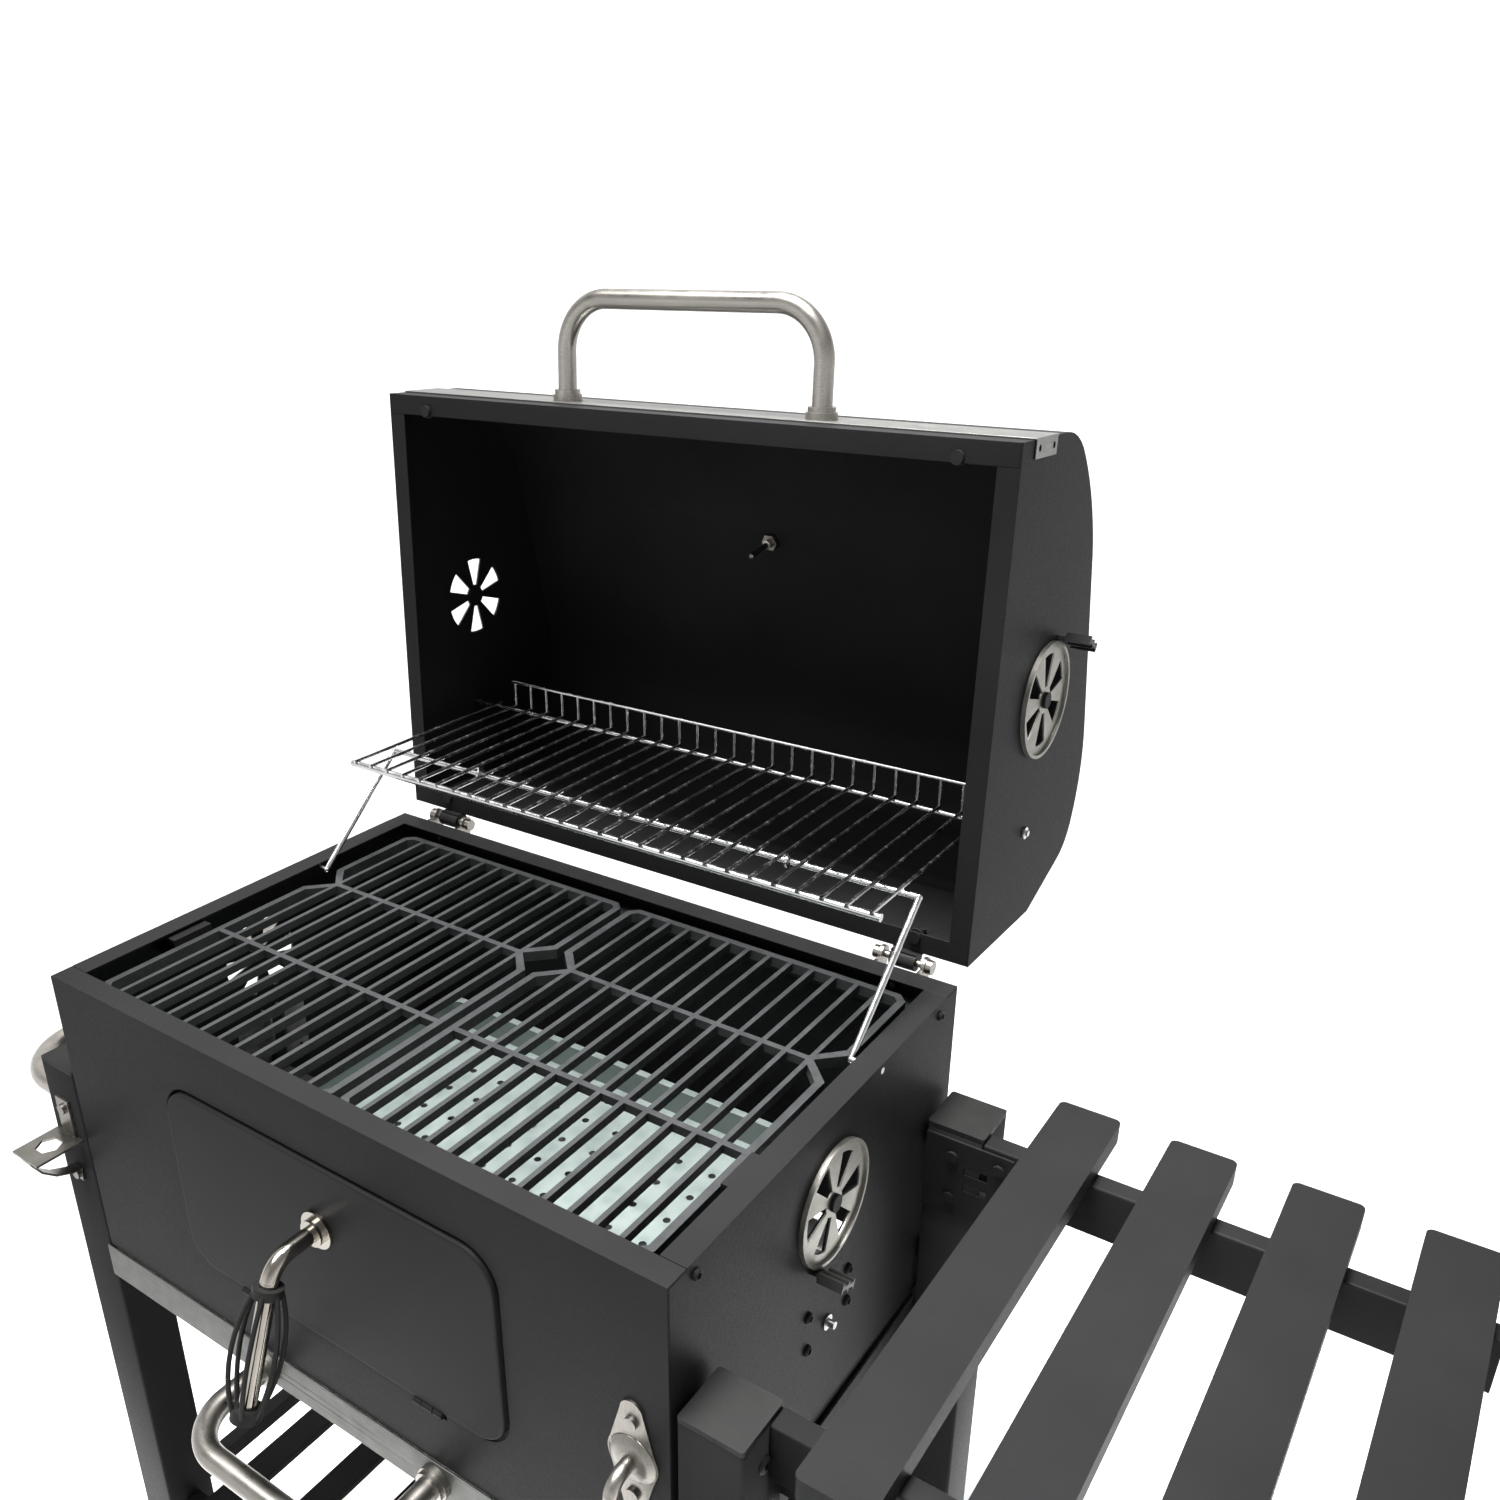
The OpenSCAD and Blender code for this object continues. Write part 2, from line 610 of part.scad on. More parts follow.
module thermometer() place() on_lid() color("#c9c6bf")
    translate([0, 125, 184.2]) rotate([14, 0, 0]) difference() {
    union() {
        cylinder(h = 3, r = 34);
        translate([0, 0, 3]) cylinder(h = 6, r = 31);
        translate([0, 0, -12]) cylinder(h = 12, r = 4.5);
        translate([0, 0, -7]) cylinder(h = 5, r = 8, $fn = 6);
        translate([0, 0, -40]) cylinder(h = 30, r = 2.5);
    }
    translate([0, 0, 6.5]) cylinder(h = 5, r = 28);
}

module lid_bumpers() place() on_lid() color("#202020") for (x = [-254, 254], y = [13, lid_d - 13])
    translate([x, y, clear - lid_gap]) {
        cylinder(h = lid_gap - clear, r = 5);
        translate([0, 0, lid_gap - clear + lid_wall]) cylinder(h = 3, r = 6);
    }

ear_t = 3;
hinge_pin_r = 3;

// Ears on the lid that turn on the hinge bolts
module lid_hinge_ears() place() on_lid() color("#232323") for (s = [-1, 1]) translate([s * hinge_x, lid_d, 0]) {
    block(-13, 13, 0.1, 2.1, 2, 40);
    difference() {
        union() {
            block(-11, 11, 0.1, hinge_y - lid_y - lid_d, -lid_gap - 3, 6);
            translate([0, hinge_y - lid_y - lid_d, -lid_gap]) rod_x(-11, 11, 7);
        }
        translate([0, hinge_y - lid_y - lid_d, -lid_gap]) rod_x(-15, 15, hinge_pin_r + running);
        block(-12, 12, -8, 0.1, -20, 20);
    }
    for (z = [12, 30]) translate([0, 2.1, z]) {
        rod_y(0, 2.4, 4.6);
        rod_y(-8, 0, 2.5);
    }
}

// Brackets on the firebox with the hinge bolts, heads outwards
module hinge_brackets() place() color("#8f8a82") for (m = [0, 1]) mirror([m, 0, 0]) translate([hinge_x, 0, 0]) {
    block(-20, 20, fire_d + 0.1, fire_d + 2.1, -44, -9);
    for (x = [-20, 20 - ear_t]) difference() {
        sideways(x, x + ear_t) union() {
            translate([fire_d + 0.1, -30]) square([13.9, 30]);
            translate([hinge_y, 0]) circle(7.3);
            translate([hinge_y - 1, -26]) polygon([[0, 0], [9, 26], [0, 26]]);
        }
        translate([0, fire_d - 8, -10]) cube([100, 16, 40], center = true);
    }
    for (x = [-20, 20 - ear_t]) block(x, x + ear_t, fire_d + 0.1, fire_d + 8, -30, -9);
    translate([0, hinge_y, 0]) {
        rod_x(-24, 22, hinge_pin_r);
        rod_x(20, 25, 6);
        rod_x(-26, -20, 5.5);
    }
    for (z = hinge_screws) translate([0, fire_d + 2.1, z]) {
        rod_y(0, 2.4, 4.6);
        rod_y(-8, 0, 2.5);
    }
}

// ---- air vents ----

// Turning disc on a wall facing +X, with its tab at the angle given from +Y towards +Z
module vent_disc(tab_angle) {
    difference() {
        union() {
            sideways(clear, 1.5) circle(vent_r);
            sideways(1.5, 4) difference() {
                circle(vent_r);
                circle(vent_r - 2.5);
            }
        }
        sideways(-1, 5) wedges(0);
        rod_x(-1, 5, 3 + running);
    }
    rotate([tab_angle, 0, 0]) translate([0, vent_r - 1, 0]) {
        block(clear, 1.5, 0, 5, -9, 9);
        block(clear, 8, 3.5, 5, -8, 8);
        block(6, 26, 3, 6, -9.5, 9.5);
        for (z = [-8.5, 0, 8.5]) block(6.5, 26, 1, 8, z - 1, z + 1);
    }
}

module fire_vent_right() place() color("#a9a69d") translate([half_w, vent_y, -vent_drop]) vent_disc(-115);

module fire_vent_left() place() color("#a9a69d") mirror([1, 0, 0])
    translate([half_w, vent_y, -vent_drop]) vent_disc(-115);

module lid_vent_right() place() on_lid() color("#a9a69d")
    translate([half_w, lid_vent_s, lid_vent_h]) vent_disc(150);

module lid_vent_left() place() on_lid() color("#a9a69d") mirror([1, 0, 0])
    translate([half_w, lid_vent_s, lid_vent_h]) vent_disc(150);

// ---- warming rack ----

pivot_back = rack_s + lid_y - hinge_y;
pivot_up = rack_h + lid_gap;
rack_pivot_y = hinge_y + pivot_back * cos(lid_open) + pivot_up * sin(lid_open);
rack_pivot_z = -pivot_back * sin(lid_open) + pivot_up * cos(lid_open);
bail_top_y = rack_pivot_y - hinge_y + bail_y;
bail_top_z = rack_pivot_z - bail_drop;

module warming_rack() place() color("#cfcfcf") translate([0, rack_pivot_y, rack_pivot_z]) {
    w = rack_wire_d / 2;
    up = rack_rod_d / 2 + w - 0.6;
    half = (rack_wires - 1) / 2;
    rod_x(-half_w - 4, half_w + 4, rack_rod_d / 2);
    for (m = [0, 1]) mirror([m, 0, 0]) rod_x(half_w + 0.4, half_w + 2, rack_rod_d / 2 + 2.5);
    translate([0, -rack_depth, 0]) rod_x(-half * rack_pitch - 6, half * rack_pitch + 6, 3.2);
    translate([0, 4, up + fence_h]) rod_x(-(half - 1) * rack_pitch - 4, (half - 1) * rack_pitch + 4, w);
    for (i = [-half : half]) translate([i * rack_pitch, 0, 0]) {
        translate([0, 0, up]) rod_y(-rack_depth - 4, 4, w);
        if (abs(i) < half) translate([0, 4, up]) {
            sphere(w);
            cylinder(h = fence_h, r = w);
        }
    }
    for (i = [-8, 0, 8]) translate([i * rack_pitch - 1, bail_top_y - rack_pivot_y, bail_top_z - rack_pivot_z])
        difference() {
            sideways(0, 2) union() {
                circle(5.5);
                translate([-3, 0]) square([6, up - bail_top_z + rack_pivot_z]);
            }
            rod_x(-1, 3, rack_rod_d / 2 + 0.4);
        }
}

module rack_bail() place() color("#cfcfcf") {
    r = rack_rod_d / 2;
    x = half_w - flange - 6;
    arm = [bail_top_y - bail_y, bail_top_z + bail_drop];
    tilt = atan2(arm[1], arm[0]);
    translate([0, bail_y, -bail_drop]) for (s = [-1, 1]) {
        rotate([0, 0, s < 0 ? 180 : 0]) rod_x(x, half_w, r);
        translate([s * x, 0, 0]) {
            sphere(r + 0.2);
            rotate([tilt - 90, 0, 0]) cylinder(h = norm(arm), r = r);
            translate([0, arm[0], arm[1]]) sphere(r + 0.2);
        }
    }
    translate([0, bail_top_y, bail_top_z]) rod_x(-x, x, r);
}

// ---- door and latch ----

door_skin_y = -3;
pin_y = -1;
pin_z = -door_hinge_drop - 1.5;
knuckle_r = 3.2;
leaf_w = 10;

module door_panel() place() color("#3b3b3b") difference() {
    union() {
        upright(door_skin_y, door_skin_y + sheet)
            translate([0, -door_drop - door_h / 2]) rounded(door_w, door_h, door_r);
        upright(door_skin_y + sheet / 2, 6) translate([0, -door_drop - door_h / 2]) difference() {
            rounded(door_w, door_h, door_r);
            rounded(door_w - 2.4, door_h - 2.4, door_r - 1.2);
        }
        for (x = door_hinges)
            translate([0, pin_y, pin_z]) rod_x(x - knuckle_w / 2 + 1, x + knuckle_w / 2 - 1, knuckle_r);
    }
    for (x = door_hinges) {
        block(x - leaf_w / 2 - 0.4, x + leaf_w / 2 + 0.4, -8, 8, pin_z - 5, pin_z + 6.5);
        translate([0, pin_y, pin_z]) rod_x(x - knuckle_w, x + knuckle_w, 1.5 + running);
    }
    translate([0, 0, -latch_drop]) rod_y(-8, 8, lever_r + 0.5);
}

// Fixed leaves inside the front panel with the door's hinge pins
module door_hinge_leaves() place() color("#2b2b2b") for (x = door_hinges) translate([x, 0, 0]) {
    translate([0, pin_y, pin_z]) {
        rod_x(-leaf_w / 2, leaf_w / 2, knuckle_r);
        rod_x(-knuckle_w / 2 + 1, knuckle_w / 2 - 1, 1.5);
    }
    block(-leaf_w / 2, leaf_w / 2, pin_y, sheet + 1.6, pin_z - knuckle_r, pin_z);
    block(-12, 12, sheet + 0.1, sheet + 1.6, pin_z - 20, -door_hinge_drop - 6.2);
    block(-leaf_w / 2, leaf_w / 2, sheet + 0.1, sheet + 1.6, pin_z - 8, pin_z);
}

module door_rose() place() color("#c9c6bf") translate([0, door_skin_y - 0.1, -latch_drop]) rotate([90, 0, 0])
    difference() {
    union() {
        cylinder(h = 2.5, r = 15);
        cylinder(h = 7, r = 10.5);
    }
    translate([0, 0, -1]) cylinder(h = 10, r = lever_r + running);
}

lever_out = 28;
tongue_len = 66;
grip_top = 2;
turn = 90 - lever_lean;
bend_end = [-lever_out - lever_bend_r * sin(turn), -lever_bend_r * (1 - cos(turn))];

// Bent rod through the door with the tongue behind it
module latch_lever() place() color("#c9c6bf") translate([0, 0, -latch_drop]) {
    rod_y(-lever_out, 10, lever_r);
    elbow([-lever_out, -lever_bend_r], lever_bend_r, 90, 90 + turn, lever_r);
    translate([0, bend_end[0], bend_end[1]]) rotate([180 - lever_lean, 0, 0]) {
        sphere(lever_r + 0.2);
        cylinder(h = lever_len - 2, r = lever_r);
    }
    block(0, tongue_len, 7, 9.5, -7, 7);
}

// Cage grip on the leaning rod: a collar, six bowed wires and an end cap
module latch_grip() place() color("#1d1d1d") translate([0, bend_end[0], bend_end[1] - latch_drop])
    rotate([180 - lever_lean, 0, 0]) {
        difference() {
            union() {
                translate([0, 0, grip_top]) cylinder(h = 7, r = 11);
                translate([0, 0, lever_len - 9]) cylinder(h = 9, r = 11);
            }
            translate([0, 0, -1]) cylinder(h = lever_len - 1, r = lever_r + running);
        }
        for (a = [0 : 60 : 300]) rotate([0, 0, a]) cage_wire(grip_top + 3, lever_len - 4, 9, 18, 1.8);
    }

// Wire bowed outwards between two heights: end and middle distance from the axis, wire radius
module cage_wire(z0, z1, r0, r1, r) {
    half = (z1 - z0) / 2;
    sag = r1 - r0;
    bow = (half * half + sag * sag) / (2 * sag);
    spread = asin(half / bow);
    translate([r1 - bow, 0, (z0 + z1) / 2]) rotate([90, 0, 0]) rotate([0, 0, -spread])
        rotate_extrude(angle = 2 * spread) translate([bow, 0]) circle(r, $fn = 24);
}

// ---- ash drawer ----

drawer_handle_z = -289;

module drawer_front() place() color("#c2c0ba") difference() {
    union() {
        block(-half_w - leg_gap, half_w + leg_gap, -1.8, -0.3, -fire_h - drawer_h, -fire_h - clear);
        block(-half_w - leg_gap, half_w + leg_gap, -1.8, 12, -fire_h - drawer_h - sheet, -fire_h - drawer_h);
    }
    for (x = [-drawer_handle_x, drawer_handle_x]) translate([x, 0, drawer_handle_z]) rod_y(-3, 1, 3.1);
}

module drawer_tray() place() color("#8fa09a") difference() {
    block(4 - half_w, half_w - 4, 0, fire_d - 8, -fire_h - drawer_h + sheet + clear, -fire_h - 2);
    block(5.2 - half_w, half_w - 5.2, 1.2, fire_d - 9.2, -fire_h - drawer_h + sheet + clear + 1.2, -fire_h);
    for (x = [-drawer_handle_x, drawer_handle_x]) translate([x, 0, drawer_handle_z]) rod_y(-3, 3, 3.1);
}

module drawer_handle() place() color("#b9b5ac") translate([0, -1.9, drawer_handle_z]) {
    tube_u(2 * drawer_handle_x, 80, 40, tube_d);
    for (x = [-drawer_handle_x, drawer_handle_x]) translate([x, 0, 0]) {
        difference() {
            union() {
                rod_y(-5, 0, tube_d / 2 + 4.5);
                rod_y(-9, -5, tube_d / 2 + 3);
            }
            rod_y(-10, 1, tube_d / 2 - 0.6);
        }
        rod_y(-14, 0, tube_d / 2 - 0.6);
        rod_y(-1, 4, 3);
        rod_y(3.4, 6, 6);
    }
}

// ---- crank and pan lift ----

crank_arm = 70;
grip_len = 62;

crank_bend = 12;
crank_out = -12;
grip_start = crank_out - 2 * crank_bend;

module crank_rod() place() color("#b9b5ac") translate([crank_x, 0, -crank_drop]) {
    rod_y(crank_out, lift_y + 22, rod_r);
    elbow([crank_out, -crank_bend], crank_bend, 90, 180, rod_r);
    translate([0, crank_out - crank_bend, crank_bend - crank_arm])
        cylinder(h = crank_arm - 2 * crank_bend, r = rod_r);
    elbow([grip_start, crank_bend - crank_arm], crank_bend, 0, -90, rod_r);
    translate([0, 0, -crank_arm]) rod_y(grip_start - grip_len + 6, grip_start, rod_r);
}

module crank_grip() place() color("#1d1d1d") translate([crank_x, grip_start, -crank_drop - crank_arm])
    rotate([90, 0, 0]) difference() {
        rotate_extrude() {
            square([9, grip_len]);
            square([11, 5]);
            translate([0, grip_len - 6]) square([11, 6]);
        }
        translate([0, 0, -1]) cylinder(h = grip_len - 4, r = rod_r + running);
    }

module pinion_2d() {
    circle(pinion_r - 3);
    for (i = [0 : teeth - 1]) rotate(i * 360 / teeth) tooth_2d(pinion_r);
}

module tooth_2d(pitch_x) translate([pitch_x, 0])
    polygon([[-3.8, -2.7], [0, -1.7], [2, -1], [2, 1], [0, 1.7], [-3.8, 2.7]]);

// Gear on the crank rod
module lift_pinion() place() color("#7d7b76") translate([crank_x, 0, -crank_drop]) difference() {
    upright(lift_y - lift_w / 2 + 0.4, lift_y + lift_w / 2 - 0.4) pinion_2d();
    rod_y(lift_y - lift_w, lift_y + lift_w, rod_r + running);
}

rack_root = crank_x - pinion_r - 2.6;
rack_teeth = 11;
strap_top = -pan_drop - pan_h - 0.1;
strap_t = 3;

// Cross strap under the pan with the toothed rack on its right end and a guide tongue on its left
module pan_carrier() place() color("#3a3a3a") {
    block(guide_x, rack_root, lift_y - lift_w / 2, lift_y + lift_w / 2, strap_top - strap_t, strap_top);
    for (x = [-140, 140]) block(x - 10, x + 10, 60, fire_d - 60, strap_top - strap_t, strap_top);
    block(guide_x, guide_x + 6, lift_y - lift_w / 2, lift_y + lift_w / 2, -crank_drop - pan_lift - 10,
        -crank_drop + 10);
    block(rack_root - 10, rack_root, lift_y - lift_w / 2, lift_y + lift_w / 2, -crank_drop - pan_lift - 12,
        -crank_drop + 12);
    for (i = [0 : rack_teeth - 1]) translate([crank_x - pinion_r, 0, -crank_drop + tooth_pitch * (0.5 - i)])
        upright(lift_y - lift_w / 2, lift_y + lift_w / 2) translate([-pinion_r, 0]) tooth_2d(pinion_r);
}

guide_x = sheet + 2.2 - half_w;
pan_wall = 1.2;
hole_x = 34;
hole_y = 33;
pan_y = lift_y - pan_d / 2;

module coal_pan() place() color("#8fa09a") difference() {
    union() {
        translate([0, lift_y, -pan_drop - pan_h]) linear_extrude(pan_h) rounded(pan_w - 12, pan_d - 12, 8);
        translate([0, lift_y, -pan_drop - pan_wall]) linear_extrude(pan_wall) rounded(pan_w, pan_d, 10);
    }
    translate([0, lift_y, -pan_drop - pan_h + pan_wall]) linear_extrude(pan_h)
        rounded(pan_w - 12 - 2 * pan_wall, pan_d - 12 - 2 * pan_wall, 7);
    for (i = [-5 : 5], j = [-4 : 4])
        translate([i * hole_x, lift_y + j * hole_y, -pan_drop - pan_h - 1]) cylinder(h = 5, r = 3.25);
}

// ---- cooking grates ----

grate_w = fire_w / 2 - 33;
grate_d = fire_d - 42;
grate_step = (grate_w - rim_w) / grate_pitches;
grate_notch = grate_d / 6;
corner_cut = 8;
cross_w = 5;

// Outline of one panel inset from its edge, with a finger notch in both long sides
module grate_outline(t) {
    w = grate_w / 2 - t;
    d = grate_d / 2 - t;
    n = grate_step;
    c = corner_cut - t * 0.6;
    k = n - t * 0.4;
    polygon([[c - w, -d], [w - c, -d], [w, c - d], [w, grate_notch - k - t], [w - n, grate_notch - t * 0.4],
        [w - n, grate_notch + t * 0.4], [w, grate_notch + k + t], [w, d - c], [w - c, d], [c - w, d], [-w, d - c],
        [-w, grate_notch + k + t], [n - w, grate_notch + t * 0.4], [n - w, grate_notch - t * 0.4],
        [-w, grate_notch - k - t], [-w, c - d]]);
}

module grate() translate([grate_w / 2 + 4, fire_d / 2 - 1, -grate_drop]) {
    translate([0, 0, -rim_h]) linear_extrude(rim_h) difference() {
        grate_outline(0);
        grate_outline(rim_w);
    }
    translate([0, 0, -bar_h]) linear_extrude(bar_h) intersection() {
        grate_outline(rim_w / 2);
        union() {
            for (i = [1 : grate_pitches - 1])
                translate([(i - grate_pitches / 2) * grate_step - bar_w / 2, -grate_d / 2]) square([bar_w, grate_d]);
            for (y = [-grate_d / 6, grate_d / 6])
                translate([-grate_w / 2, y - cross_w / 2]) square([grate_w, cross_w]);
        }
    }
}

module grate_right() place() color("#2f3131") grate();

module grate_left() place() color("#2f3131") mirror([1, 0, 0]) grate();

front_panel();
rear_panel();
left_panel();
right_panel();
panel_screws();
grate_ledges();
leg_front_left();
leg_front_right();
leg_rear_left();
leg_rear_right();
leg_caps();
leg_feet();
leg_bolts();
shelf_frame();
shelf_slats();
axle();
table_rails();
table_brackets();
table_slat_1();
table_slat_2();
table_slat_3();
table_slat_4();
side_handle();
drawer_runners();
bottle_opener();
crank_plate();
lift_guides();
hinge_brackets();
door_hinge_leaves();
lid_skin();
lid_end_left();
lid_end_right();
lid_trim();
lid_handle();
lid_collars();
thermometer();
lid_bumpers();
lid_hinge_ears();
lid_vent_left();
lid_vent_right();
warming_rack();
rack_bail();
fire_vent_left();
fire_vent_right();
door_panel();
door_rose();
latch_lever();
latch_grip();
drawer_front();
drawer_tray();
drawer_handle();
crank_rod();
crank_grip();
lift_pinion();
pan_carrier();
coal_pan();
grate_left();
grate_right();
wheel_front();
wheel_rear();
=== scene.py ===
import json
import math
import bmesh
import bpy
from mathutils import Matrix, Vector

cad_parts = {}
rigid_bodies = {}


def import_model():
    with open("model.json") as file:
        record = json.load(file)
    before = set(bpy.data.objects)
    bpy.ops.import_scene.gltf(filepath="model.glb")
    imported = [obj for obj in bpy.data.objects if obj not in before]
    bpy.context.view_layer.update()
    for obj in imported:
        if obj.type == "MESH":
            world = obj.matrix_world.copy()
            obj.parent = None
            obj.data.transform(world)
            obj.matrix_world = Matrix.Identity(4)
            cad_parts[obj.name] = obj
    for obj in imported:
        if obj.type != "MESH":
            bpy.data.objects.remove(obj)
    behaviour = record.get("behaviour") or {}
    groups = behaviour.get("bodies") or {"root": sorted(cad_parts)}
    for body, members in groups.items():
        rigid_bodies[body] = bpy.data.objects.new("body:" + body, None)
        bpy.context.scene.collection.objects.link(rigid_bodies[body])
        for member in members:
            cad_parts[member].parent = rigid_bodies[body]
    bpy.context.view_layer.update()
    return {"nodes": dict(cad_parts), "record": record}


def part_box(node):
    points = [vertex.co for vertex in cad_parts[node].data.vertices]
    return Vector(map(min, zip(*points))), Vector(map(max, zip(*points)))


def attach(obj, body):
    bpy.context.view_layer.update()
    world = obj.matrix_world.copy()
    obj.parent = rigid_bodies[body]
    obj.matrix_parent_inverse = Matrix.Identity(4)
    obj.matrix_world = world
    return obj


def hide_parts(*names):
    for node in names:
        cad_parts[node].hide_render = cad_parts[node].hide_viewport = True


for old in list(bpy.data.objects):
    bpy.data.objects.remove(old)
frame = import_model()
nodes = frame["nodes"]
scene = bpy.context.scene

# ---------------------------------------------------------------- places, in millimetres
# Local frame: X from the middle of the firebox, Y from its front face, Z from its top.
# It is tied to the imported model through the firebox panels.
front_lo, front_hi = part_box("front_panel")
MID_X = (front_lo.x + front_hi.x) / 2
FACE_Y = front_lo.y
TOP_Z = front_hi.z


def W(x, y, z):
    return Vector((MID_X + x / 1000, FACE_Y + y / 1000, TOP_Z + z / 1000))


TO_ROW = Matrix.Translation(W(0, 0, 0)) @ Matrix.Scale(0.001, 4)
# The closed lid's own frame, swung open about the hinge axis
OPEN = math.radians(92.1)
HINGE_Y = 402
LID = (TO_ROW @ Matrix.Translation((0, HINGE_Y, 0)) @ Matrix.Rotation(-OPEN, 4, "X")
       @ Matrix.Translation((0, -HINGE_Y - 2, 3)))

# ---------------------------------------------------------------- materials


class Nodes:
    def __init__(self, name):
        self.mat = bpy.data.materials.new(name)
        self.mat.use_nodes = True
        self.tree = self.mat.node_tree
        self.bsdf = self.tree.nodes["Principled BSDF"]
        self.coord = self.tree.nodes.new("ShaderNodeTexCoord")

    def new(self, kind, **values):
        node = self.tree.nodes.new(kind)
        for key, value in values.items():
            if key in node.inputs:
                node.inputs[key].default_value = value
            else:
                setattr(node, key, value)
        return node

    def link(self, a, b):
        self.tree.links.new(a, b)

    def scaled(self, scale):
        mapping = self.new("ShaderNodeMapping")
        mapping.inputs["Scale"].default_value = scale if hasattr(scale, "__len__") else (scale,) * 3
        self.link(self.coord.outputs["Object"], mapping.inputs["Vector"])
        return mapping.outputs["Vector"]

    def noise(self, scale, detail=2.0, rough=0.5):
        node = self.new("ShaderNodeTexNoise", Scale=1.0, Detail=detail, Roughness=rough)
        self.link(self.scaled(scale), node.inputs["Vector"])
        return node.outputs["Fac"]

    def cells(self, scale):
        node = self.new("ShaderNodeTexVoronoi", Scale=1.0, Randomness=1.0)
        self.link(self.scaled(scale), node.inputs["Vector"])
        return node.outputs["Distance"]

    def blend(self, value, low, high):
        """Colour from low to high over the middle of a noise."""
        return self.ramp(value, [(0.3, low), (0.7, high)])

    def ramp(self, value, stops):
        node = self.new("ShaderNodeValToRGB")
        ramp = node.color_ramp
        while len(ramp.elements) < len(stops):
            ramp.elements.new(0.5)
        for element, (place, colour) in zip(ramp.elements, stops):
            element.position = place
            element.color = colour if len(colour) == 4 else (*colour, 1)
        self.link(value, node.inputs["Fac"])
        return node.outputs["Color"]

    def range(self, value, low, high, a=0.0, b=1.0):
        node = self.new("ShaderNodeMapRange")
        for key, number in (("From Min", a), ("From Max", b), ("To Min", low), ("To Max", high)):
            node.inputs[key].default_value = number
        self.link(value, node.inputs["Value"])
        return node.outputs["Result"]

    def bump(self, height, strength, distance, under=None):
        node = self.new("ShaderNodeBump", Strength=strength, Distance=distance)
        self.link(height, node.inputs["Height"])
        if under is not None:
            self.link(under, node.inputs["Normal"])
        return node.outputs["Normal"]

    def set(self, **values):
        for key, value in values.items():
            socket = self.bsdf.inputs[key.replace("_", " ")]
            if isinstance(value, bpy.types.NodeSocket):
                self.link(value, socket)
            else:
                socket.default_value = value
        return self


def powder(name, dark, light, rough=(0.42, 0.56)):
    """Powder coat: cloudy black with a fine grain over orange peel."""
    m = Nodes(name)
    cloud = m.noise(9, detail=4)
    fine = m.noise(900, detail=2, rough=0.6)
    peel = m.noise(260, detail=1)
    m.set(Base_Color=m.blend(cloud, dark, light), Specular_IOR_Level=0.045,
          Roughness=m.range(fine, *rough, 0.3, 0.7),
          Normal=m.bump(fine, 0.16, 0.0004, m.bump(peel, 0.112, 0.0008)))
    return m.mat


def brushed(name, colour, axis, rough=(0.24, 0.38), depth=0.05):
    """Steel with streaks along the given axis."""
    m = Nodes(name)
    stretch = [900, 900, 900]
    stretch[axis] = 12
    streak = m.noise(stretch, detail=3, rough=0.6)
    smear = m.noise(14, detail=3)
    dim = tuple(c * 0.82 for c in colour)
    m.set(Base_Color=m.ramp(streak, [(0.35, dim), (0.65, colour)]), Metallic=1.0,
          Roughness=m.range(m.noise(60, detail=3), *rough, 0.3, 0.7),
          Normal=m.bump(streak, depth, 0.0002, m.bump(smear, 0.02, 0.002)))
    return m.mat


MAT = {}
MAT["black_coat"] = powder("powder_coat_black", (0.0074, 0.0074, 0.0076), (0.0096, 0.0096, 0.0098))
MAT["dark_steel"] = powder("satin_black_steel", (0.007, 0.007, 0.0075), (0.011, 0.011, 0.011),
                           (0.35, 0.5))
MAT["stainless"] = brushed("stainless_brushed_x", (0.26, 0.247, 0.225), 0)
MAT["stainless_y"] = brushed("stainless_brushed_y", (0.36, 0.34, 0.31), 1)
MAT["stainless_z"] = brushed("stainless_brushed_z", (0.36, 0.34, 0.31), 2)
MAT["vent_steel"] = brushed("stainless_stamped", (0.23, 0.223, 0.20), 1, (0.36, 0.52), 0.03)
MAT["plate"] = brushed("stainless_pressed", (0.19, 0.18, 0.162), 2, (0.26, 0.4), 0.03)
MAT["strip"] = brushed("steel_strip", (0.114, 0.116, 0.108), 0, (0.46, 0.60), 0.05)
MAT["lid_strip"] = brushed("steel_lid_strip", (0.17, 0.168, 0.16), 0, (0.34, 0.50), 0.05)



def plated(name, low, high, cloud, rough, patch, grain, depth, distance):
    """Bright metal: cloudy colour, patchy roughness and a fine grain, each at its own noise scale."""
    m = Nodes(name)
    m.set(Base_Color=m.blend(m.noise(cloud, detail=3), low, high), Metallic=1.0,
          Roughness=m.range(m.noise(patch, detail=3), *rough, 0.3, 0.7),
          Normal=m.bump(m.noise(grain), depth, distance))
    return m.mat


MAT["polished"] = plated("polished_rod", (0.27, 0.25, 0.22), (0.34, 0.32, 0.285), 20, (0.08, 0.2), 80,
                         (1200, 1200, 30), 0.03, 0.0002)
MAT["wire_chrome"] = plated("chrome_wire", (0.40, 0.40, 0.40), (0.52, 0.52, 0.53), 40, (0.12, 0.3), 150,
                            500, 0.05, 0.0003)
MAT["zinc"] = plated("zinc_plate", (0.26, 0.26, 0.25), (0.36, 0.36, 0.35), 120, (0.3, 0.5), 200,
                     700, 0.08, 0.0003)

